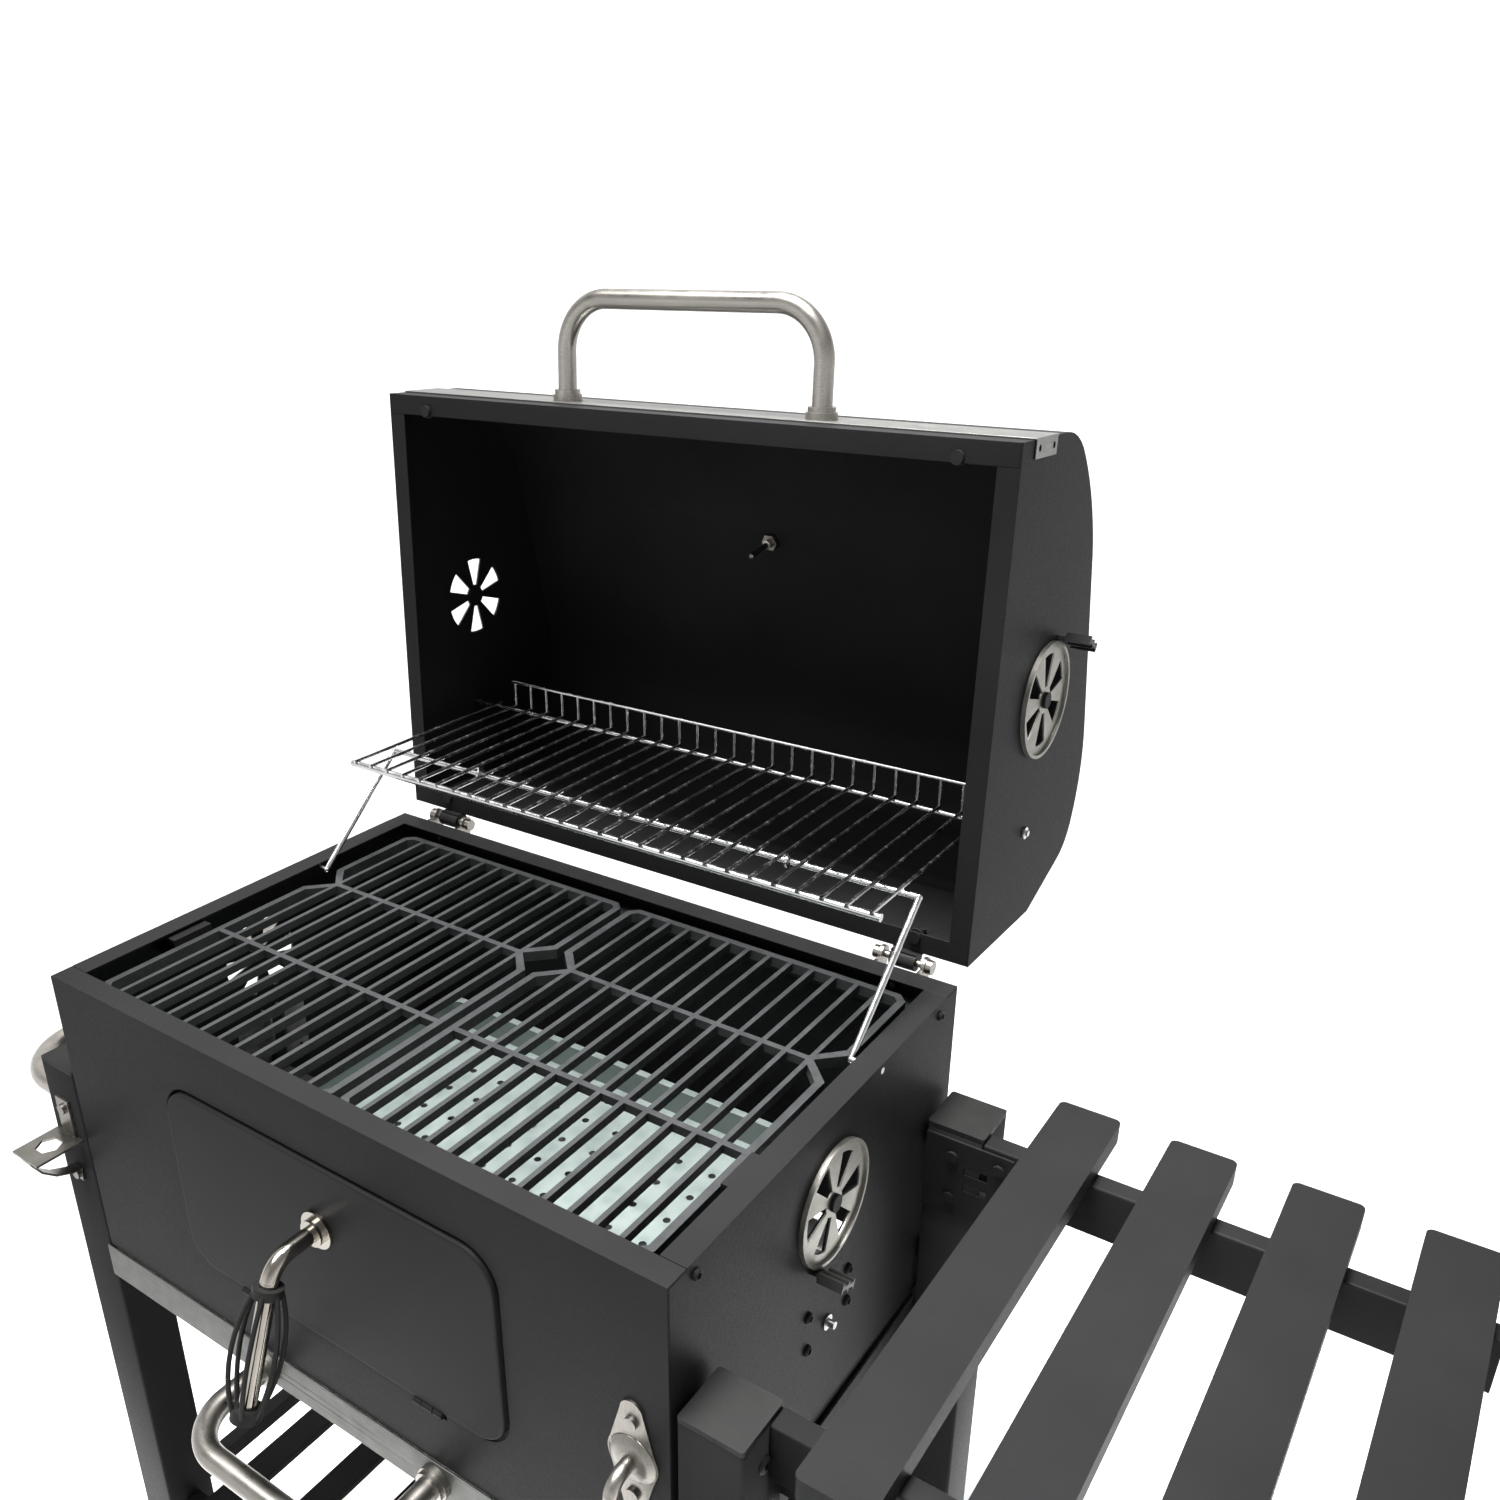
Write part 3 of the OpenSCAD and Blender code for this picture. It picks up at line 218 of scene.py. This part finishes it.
m = Nodes("galvanised_sheet")
flake = m.cells(70)
m.set(Base_Color=m.ramp(flake, [(0.0, (0.115, 0.140, 0.133)), (0.7, (0.140, 0.165, 0.157))]),
      Metallic=0.35, Roughness=m.range(flake, 0.42, 0.6, 0.0, 0.8),
      Normal=m.bump(m.noise(300, detail=3), 0.06, 0.0005))
MAT["galvanised"] = m.mat

m = Nodes("cast_iron_enamel")
pits = m.bump(m.noise(70, detail=2), 0.1, 0.002)
m.set(Base_Color=m.blend(m.noise(60, detail=4), (0.011, 0.0115, 0.012), (0.017, 0.018, 0.0185)),
      Specular_IOR_Level=0.25, Roughness=m.range(m.noise(300, detail=3), 0.38, 0.6, 0.3, 0.7),
      Normal=m.bump(m.noise(420, detail=4, rough=0.65), 0.32, 0.0008, pits))
MAT["cast_iron"] = m.mat


def plastic(name, low, high, grain, rough):
    """Moulded plastic or rubber with a sparked grain."""
    m = Nodes(name)
    m.set(Base_Color=m.blend(m.noise(25, detail=4), low, high), Specular_IOR_Level=0.12,
          Roughness=m.range(m.noise(90, detail=3), *rough, 0.3, 0.7),
          Normal=m.bump(m.cells(900), grain, 0.0003))
    return m.mat


MAT["black_plastic"] = plastic("moulded_plastic_black", (0.0056, 0.0056, 0.0054), (0.0075, 0.0075, 0.0072),
                               0.25, (0.5, 0.62))
MAT["grip_plastic"] = plastic("grip_plastic", (0.010, 0.010, 0.010), (0.016, 0.016, 0.015), 0.1, (0.3, 0.42))
MAT["wheel_black"] = plastic("wheel_plastic", (0.016, 0.016, 0.016), (0.024, 0.024, 0.023), 0.2, (0.45, 0.6))
MAT["tyre"] = plastic("tyre_rubber", (0.012, 0.012, 0.012), (0.018, 0.018, 0.017), 0.3, (0.6, 0.75))

SLOT = {s["node"]: s["material_slot"] for s in frame["record"]["subparts"]}


def paint(obj, material):
    obj.data.materials.clear()
    obj.data.materials.append(material)


def soften(obj, width):
    """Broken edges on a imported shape, as modifiers."""
    weld = obj.modifiers.new("weld", "WELD")
    weld.merge_threshold = 0.00001
    bevel = obj.modifiers.new("bevel", "BEVEL")
    bevel.width = width
    bevel.segments = 2
    bevel.limit_method = "ANGLE"
    bevel.angle_limit = math.radians(34)
    bevel.use_clamp_overlap = True
    obj.modifiers.new("normals", "WEIGHTED_NORMAL").keep_sharp = False
    for face in obj.data.polygons:
        face.use_smooth = True


# Widths in millimetres
EDGE = {1.5: "leg_feet", 1.2: "grate_left grate_right", 1.0: "shelf_frame",
        0.9: "leg_caps table_slat_1 table_slat_2 table_slat_3 table_slat_4", 0.8: "shelf_slats",
        0.55: "front_panel rear_panel left_panel right_panel",
        0.5: "drawer_front pan_carrier hinge_brackets lid_hinge_ears table_brackets",
        0.45: "lid_skin lid_end_left lid_end_right",
        0.4: "drawer_tray coal_pan lift_guides drawer_runners grate_ledges crank_plate bottle_opener",
        0.2: "lid_trim"}
for name, obj in nodes.items():
    paint(obj, MAT[SLOT[name]])
for width, names in EDGE.items():
    for name in names.split():
        soften(nodes[name], width / 1000)
for name, look in (("side_handle", "stainless_y"), ("drawer_front", "strip"), ("lid_trim", "lid_strip"),
                   ("drawer_tray", "zinc"), ("crank_plate", "plate"), ("bottle_opener", "plate")):
    paint(nodes[name], MAT[look])

# ---------------------------------------------------------------- building pieces


def finish_mesh(name, bm, mats, matrix, angle=32):
    """Object from a built mesh, smooth below the given edge angle; mats are keys of MAT."""
    bmesh.ops.remove_doubles(bm, verts=bm.verts, dist=1e-5)
    bmesh.ops.recalc_face_normals(bm, faces=bm.faces)
    mesh = bpy.data.meshes.new(name)
    bm.to_mesh(mesh)
    bm.free()
    for key in mats:
        mesh.materials.append(MAT[key])
    for face in mesh.polygons:
        face.use_smooth = True
    mesh.set_sharp_from_angle(angle=math.radians(angle))
    obj = bpy.data.objects.new(name, mesh)
    obj.matrix_world = matrix
    scene.collection.objects.link(obj)
    return obj


def lathe(bm, profile, place=Matrix.Identity(4), n=48, slot=0, six=()):
    """Turns (radius, height) points round local Z, with a flat face over the first and the last ring.

    The rings numbered in six are hexagons."""
    rings = []
    for k, (r, h) in enumerate(profile):
        ring = []
        for i in range(n):
            a = 2 * math.pi * i / n
            f = math.cos(math.pi / 6) / math.cos((a % (math.pi / 3)) - math.pi / 6) if k in six else 1.0
            ring.append(bm.verts.new(place @ Vector((r * f * math.cos(a), r * f * math.sin(a), h))))
        rings.append(ring)
    for a, b in zip(rings, rings[1:]):
        for i in range(n):
            bm.faces.new((a[i], a[(i + 1) % n], b[(i + 1) % n], b[i])).material_index = slot
    for ring in (rings[0], rings[-1]):
        if len({tuple(round(c, 7) for c in v.co) for v in ring}) > 2:
            bm.faces.new(ring).material_index = slot


def block(bm, lo, hi, place=Matrix.Identity(4), slot=0, bevel=0.0):
    """Box from lo to hi, with its edges broken by the given bevel."""
    made = bmesh.ops.create_cube(bm, size=1.0)["verts"]
    for v in made:
        v.co = Vector(((lo[k] + hi[k]) / 2 + v.co[k] * (hi[k] - lo[k]) for k in range(3)))
    faces = {f for v in made for f in v.link_faces}
    if bevel:
        edges = list(dict.fromkeys(e for v in made for e in v.link_edges))
        out = bmesh.ops.bevel(bm, geom=edges, offset=bevel, segments=2, affect="EDGES", profile=0.5)
        made = {v for f in out["faces"] for v in f.verts} | {v for v in made if v.is_valid}
        faces = {f for v in made for f in v.link_faces}
    for v in made:
        v.co = place @ v.co
    for f in faces:
        f.material_index = slot


def turned(x, y, z, axis):
    """Millimetre frame at a local point with local Z along the given direction."""
    return Matrix.Translation((x, y, z)) @ Vector(axis).to_track_quat("Z", "Y").to_matrix().to_4x4()


# Screws on the side walls: button heads with a hexagon recess
WALL_X = 300
MID_Y = 194
bm = bmesh.new()
for side in (-1, 1):
    for y, z, r, tall, deep in [(28, -11, 4, 2.6, 4), (357.5, -11, 4, 2.6, 4)] + [
            (MID_Y + dy, z, 4.4, 3, 3.1) for dy in (-29, 29) for z in (-155, -185)]:
        lathe(bm, [(0.01, -deep), (2, -deep), (2, 0), (r, 0), (r, tall * 0.45), (r * 0.8, tall * 0.85),
                   (r * 0.62, tall), (r * 0.58, tall), (r * 0.56, tall * 0.45), (0.01, tall * 0.45)],
              turned(side * WALL_X, y, z, (side, 0, 0)), 24, six=(7, 8))
screws = finish_mesh("socket_screws", bm, ["dark_steel"], TO_ROW)
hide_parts("panel_screws")
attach(screws, "root")

# Leg bolts with nut, spacer and head
bm = bmesh.new()
for side in (-1, 1):
    for y in (24, 364):
        for z in (-125, -240):
            at = turned(side * WALL_X, y, z, (side, 0, 0))
            lathe(bm, [(3, -8.5), (3, 50)], at, 24)
            lathe(bm, [(5.4, -7.5), (6.2, -7.0), (6.2, -2.0), (5.4, -1.5)], at, 24, six=(0, 1, 2, 3))
            lathe(bm, [(8, 0), (8, 4)], at, 32)
            lathe(bm, [(6, 50), (6, 51), (5.2, 52), (4, 52.6), (2.6, 52.6), (2.5, 51.2), (0.01, 51.2)],
                  at, 24, six=(4, 5))
bolts = finish_mesh("leg_bolt_set", bm, ["dark_steel"], TO_ROW)
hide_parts("leg_bolts")
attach(bolts, "root")


def loops(bm, rings, close=False):
    """Skins one ring after the next, and back to the first when closed."""
    pairs = list(zip(rings, rings[1:])) + ([(rings[-1], rings[0])] if close else [])
    for a, b in pairs:
        for i in range(len(a)):
            bm.faces.new((a[i], a[(i + 1) % len(a)], b[(i + 1) % len(a)], b[i]))


def rounded_ring(bm, lo, hi, r, put, n=5):
    """Vertices round a rounded rectangle; put turns its two coordinates into a point."""
    ring = []
    for sa, sb, start in ((1, 1, 0), (-1, 1, 90), (-1, -1, 180), (1, -1, 270)):
        ca = hi[0] - r if sa > 0 else lo[0] + r
        cb = hi[1] - r if sb > 0 else lo[1] + r
        for k in range(n + 1):
            t = math.radians(start + 90 * k / n)
            ring.append(bm.verts.new(put(ca + r * math.cos(t), cb + r * math.sin(t))))
    return ring


def square_tube(bm, lo, hi, axis, r=0.0022, wall=0.0015, edge=0.0005):
    """Drawn tube with rounded corners and slightly broken ends, from lo to hi in metres."""
    a, b = [k for k in range(3) if k != axis]
    rings = []
    for inset, radius, at in ((edge, r, lo[axis]), (0, r, lo[axis] + edge), (0, r, hi[axis] - edge),
                              (edge, r, hi[axis]), (wall, r * 0.5, hi[axis]), (wall, r * 0.5, lo[axis])):
        def put(u, v, at=at):
            point = Vector((0, 0, 0))
            point[a], point[b], point[axis] = u, v, at
            return point
        rings.append(rounded_ring(bm, (lo[a] + inset, lo[b] + inset), (hi[a] - inset, hi[b] - inset),
                                  radius, put))
    loops(bm, rings, True)


for name in ("leg_front_left", "leg_front_right", "leg_rear_left", "leg_rear_right"):
    lo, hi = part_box(name)
    bm = bmesh.new()
    square_tube(bm, lo, hi, 2)
    piece = finish_mesh(name + "_tube", bm, ["black_coat"], Matrix.Identity(4), 50)
    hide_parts(name)
    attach(piece, "root")

lo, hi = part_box("table_rails")
bm = bmesh.new()
RAIL = 0.017
square_tube(bm, lo, (hi.x, lo.y + RAIL, hi.z), 0)
square_tube(bm, (lo.x, hi.y - RAIL, lo.z), hi, 0)
for y in (lo.y + RAIL / 2, hi.y - RAIL / 2):  # end plugs
    block(bm, (hi.x - 0.0015, y - 0.0082, lo.z + 0.0005), (hi.x - 0.0002, y + 0.0082, hi.z - 0.0005),
          bevel=0.0004)
piece = finish_mesh("table_rail_tubes", bm, ["black_coat"], Matrix.Identity(4), 50)
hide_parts("table_rails")
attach(piece, "root")

# Pressed door: turned rim, softened front edge and a slightly pillowed face, with its hinge knuckles
DOOR_HALF, DOOR_LOW, DOOR_TOP, DOOR_R = 168, -216, -47, 30


def door_ring(inset, y):
    """Rounded outline of the door, drawn in by inset at depth y."""
    return rounded_ring(bm, (-DOOR_HALF + inset, DOOR_LOW + inset), (DOOR_HALF - inset, DOOR_TOP - inset),
                        max(DOOR_R - inset, 3), lambda u, v: Vector((u, y, v)), 9)


bm = bmesh.new()
face = [door_ring(*ring) for ring in (
    (2.7, 6.0), (1.7, 6.0), (1.7, -1.2), (1.9, -1.9), (2.4, -2.35), (3.4, -2.5), (5.8, -2.45),
    (12, -2.6), (30, -2.85), (60, -2.98), (78, -3.0))]
back = [face[0]] + [door_ring(*ring) for ring in ((2.6, -0.6), (60, -1.3))]
for rings in (face, back):
    loops(bm, rings)
    bm.faces.new(rings[-1])
for x in (-93, 93):
    for a, b in ((x - 14, x - 5.4), (x + 5.4, x + 14)):
        lathe(bm, [(1.6, 0), (2.7, 0), (3.2, 0.5), (3.2, b - a - 0.5), (2.7, b - a), (1.6, b - a)],
              turned(a, -1, DOOR_LOW - 1.5, (1, 0, 0)), 24)
piece = finish_mesh("pressed_door", bm, ["black_coat"], TO_ROW, 40)
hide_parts("door_panel")
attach(piece, "door")

# Dark tab on every vent disc: the faces outside the disc's own radius or thickness, in metres
DISC_R, DISC_T = 0.0468, 0.0046
FIRE_VENT, LID_VENT = (MID_Y, -74), (203, 100)
for name, matrix, side, middle in (
        ("fire_vent_left", TO_ROW, -1, FIRE_VENT), ("fire_vent_right", TO_ROW, 1, FIRE_VENT),
        ("lid_vent_left", LID, -1, LID_VENT), ("lid_vent_right", LID, 1, LID_VENT)):
    centre = matrix @ Vector((side * WALL_X, *middle))
    obj = nodes[name]
    obj.data.materials.append(MAT["grip_plastic"])
    for polygon in obj.data.polygons:
        d = obj.matrix_world @ polygon.center - centre
        if math.hypot(d.y, d.z) > DISC_R or abs(d.x) > DISC_T:
            polygon.material_index = 1

# Thermometer on the lid skin
bm = bmesh.new()
lathe(bm, [(30, 0.2), (34, 0.2), (34, 2.4), (33.2, 3), (31, 3.2), (31, 8.2), (30.2, 9), (28.6, 9), (28, 8.4),
           (28, 6.7), (0.01, 6.7)], slot=0, n=72)
lathe(bm, [(27.9, 6.75), (0.01, 6.76)], slot=1, n=72)
lathe(bm, [(4.5, 0), (4.5, -2)], slot=0)
lathe(bm, [(8, -2), (8, -7)], slot=0, six=(0, 1))
lathe(bm, [(4.4, -7), (4.4, -12), (2.5, -12.5), (2.5, -39), (1.2, -40)], slot=0)
for i in range(41):  # ticks over 270 degrees, every fifth one long
    spin = Matrix.Rotation(math.radians(225 - i * 270 / 40), 4, "Z")
    block(bm, (25.4 - (3.2 if i % 5 == 0 else 1.6), -0.35, 6.78), (25.4, 0.35, 6.86), spin, 2)
block(bm, (-7, -0.6, 7.1), (21, 0.6, 7.3), Matrix.Rotation(math.radians(205), 4, "Z"), 3)  # needle
lathe(bm, [(2.6, 6.9), (2.6, 7.6), (0.01, 7.9)], slot=0, n=24)
m = Nodes("dial_face")
m.set(Base_Color=m.blend(m.noise(300), (0.76, 0.75, 0.72), (0.82, 0.81, 0.78)),
      Roughness=m.range(m.noise(90), 0.5, 0.6, 0.3, 0.7))
MAT["dial"] = m.mat
m = Nodes("needle_red")
m.set(Base_Color=m.blend(m.noise(400), (0.42, 0.03, 0.02), (0.50, 0.04, 0.03)),
      Roughness=m.range(m.noise(300), 0.35, 0.5, 0.3, 0.7))
MAT["needle"] = m.mat
gauge = finish_mesh("lid_thermometer", bm, ["stainless", "dial", "dark_steel", "needle"],
                    LID @ Matrix.Translation((0, 125, 184.2)) @ Matrix.Rotation(math.radians(14), 4, "X"))
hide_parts("thermometer")
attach(gauge, "lid")

# Wheels: tyre with tread blocks, rim whose flat end faces cover its six ribs, and hub
AXLE_X, AXLE_Z = 327, -760
for name, y, out in (("front", -22, -1), ("rear", 410, 1)):
    bm = bmesh.new()
    lathe(bm, [(67, -11), (69, -14.5), (75, -16), (82, -15.5), (87, -12.5), (88.6, -7), (88.8, 0),
               (88.6, 7), (87, 12.5), (82, 15.5), (75, 16), (69, 14.5), (67, 11), (67, -11)], slot=0, n=96)
    for i in range(48):
        spin = Matrix.Rotation(2 * math.pi * (i + 0.5) / 48, 4, "Z")
        for lo, hi, turn in ((-11.0, -1.2, 0.0), (1.2, 11.0, math.pi / 48)):
            block(bm, (87.2, -2.6, lo), (89.9, 2.6, hi), spin @ Matrix.Rotation(turn, 4, "Z"), 0)
    lathe(bm, [(67.4, -10), (64, -10), (62.5, -3), (62.5, 3), (64, 10), (67.4, 10)], slot=1, n=96)
    lathe(bm, [(63, -2.6), (16, -3), (16, 3), (63, 2.6)], slot=1, n=96)
    for i in range(6):
        spin = Matrix.Rotation(2 * math.pi * i / 6, 4, "Z")
        block(bm, (14, -3.5, -9), (64, 3.5, 9), spin, 1, 0.8)
    lathe(bm, [(6.06, -16), (14, -16), (16, -14), (18, -4), (18, 4), (16, 14), (14, 16), (6.06, 16),
               (6.06, -16)], slot=1, n=48)
    wheel = finish_mesh("wheel_" + name + "_moulded", bm, ["tyre", "wheel_black"],
                        TO_ROW @ turned(AXLE_X, y, AXLE_Z, (0, out, 0)))
    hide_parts("wheel_" + name)
    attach(wheel, "wheel_" + name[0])

# ---------------------------------------------------------------- floor, light and camera
FAR = 60
floor_mesh = bpy.data.meshes.new("floor")
floor_mesh.from_pydata([(-FAR, -FAR, 0), (FAR, -FAR, 0), (FAR, FAR, 0), (-FAR, FAR, 0)], [], [(0, 1, 2, 3)])
floor = bpy.data.objects.new("floor", floor_mesh)
scene.collection.objects.link(floor)
m = Nodes("floor_pale")
m.set(Base_Color=m.ramp(m.noise(2), [(0.0, (0.92, 0.92, 0.92)), (1.0, (0.94, 0.94, 0.94))]),
      Roughness=0.8)
paint(floor, m.mat)

# White ahead of the camera and along the horizon, dim above and behind: the near faces stay dark
world = bpy.data.worlds.new("studio")
scene.world = world
world.use_nodes = True
sky = world.node_tree
background = sky.nodes["Background"]
coord = sky.nodes.new("ShaderNodeTexCoord")
dot = sky.nodes.new("ShaderNodeVectorMath")
dot.operation = "DOT_PRODUCT"
dot.inputs[1].default_value = (0.616, -0.788, 0.0)
split = sky.nodes.new("ShaderNodeSeparateXYZ")
for node in (dot, split):
    sky.links.new(coord.outputs["Generated"], node.inputs[0])


def smooth_step(socket, low, high):
    node = sky.nodes.new("ShaderNodeMapRange")
    node.interpolation_type = "SMOOTHSTEP"
    node.inputs["From Min"].default_value = low
    node.inputs["From Max"].default_value = high
    sky.links.new(socket, node.inputs["Value"])
    return node.outputs["Result"]


both = sky.nodes.new("ShaderNodeMath")
both.operation = "MULTIPLY"
sky.links.new(smooth_step(dot.outputs["Value"], -0.60, -0.16), both.inputs[0])
sky.links.new(smooth_step(split.outputs["Z"], 0.0, 0.48), both.inputs[1])
ramp = sky.nodes.new("ShaderNodeValToRGB")
ramp.color_ramp.elements[0].color = (1.0, 1.0, 1.0, 1)
ramp.color_ramp.elements[1].color = (0.42, 0.42, 0.425, 1)
sky.links.new(both.outputs["Value"], ramp.inputs["Fac"])
sky.links.new(ramp.outputs["Color"], background.inputs["Color"])
background.inputs["Strength"].default_value = 1.15


def lamp(name, kind, place, target, power, **values):
    data = bpy.data.lights.new(name, kind)
    data.energy = power
    for key, value in values.items():
        setattr(data, key, value)
    obj = bpy.data.objects.new(name, data)
    obj.location = place
    obj.rotation_euler = (Vector(target) - Vector(place)).to_track_quat("-Z", "Y").to_euler()
    scene.collection.objects.link(obj)


lamp("soft_sun", "SUN", (-0.9, -0.8, 3.0), (0, 0, 0.4), 3.3, angle=math.radians(36))
lamp("key_overhead", "AREA", (-0.06, -0.10, 3.2), (0.12, -0.05, 0.8), 34, shape="RECTANGLE",
     size=0.9, size_y=0.7, spread=math.radians(48))
lamp("front_left", "AREA", (-1.2, -2.8, 1.5), (0.0, 0.0, 0.75), 3, shape="RECTANGLE",
     size=2.6, size_y=2.2, spread=math.radians(100))

# The photograph's own camera, solved from the firebox edges
data = bpy.data.cameras.new("camera")
camera = bpy.data.objects.new("camera", data)
scene.collection.objects.link(camera)
data.sensor_width = 36
data.lens = 31.74
data.shift_x = 0.0532
data.shift_y = 0.0437
data.clip_start = 0.01
yaw, pitch, roll = (math.radians(v) for v in (35.43, -23.79, -0.68))
ahead = Vector((-math.sin(yaw) * math.cos(pitch), math.cos(yaw) * math.cos(pitch), math.sin(pitch)))
side = Vector((math.cos(yaw), math.sin(yaw), 0))
rise = side.cross(ahead)
right = math.cos(roll) * side + math.sin(roll) * rise
up = -math.sin(roll) * side + math.cos(roll) * rise
turn = Matrix((right, up, -ahead)).transposed().to_4x4()
camera.matrix_world = Matrix.Translation(W(630.42, -456.43, 534.32)) @ turn
scene.camera = camera
scene.view_settings.view_transform = "Standard"
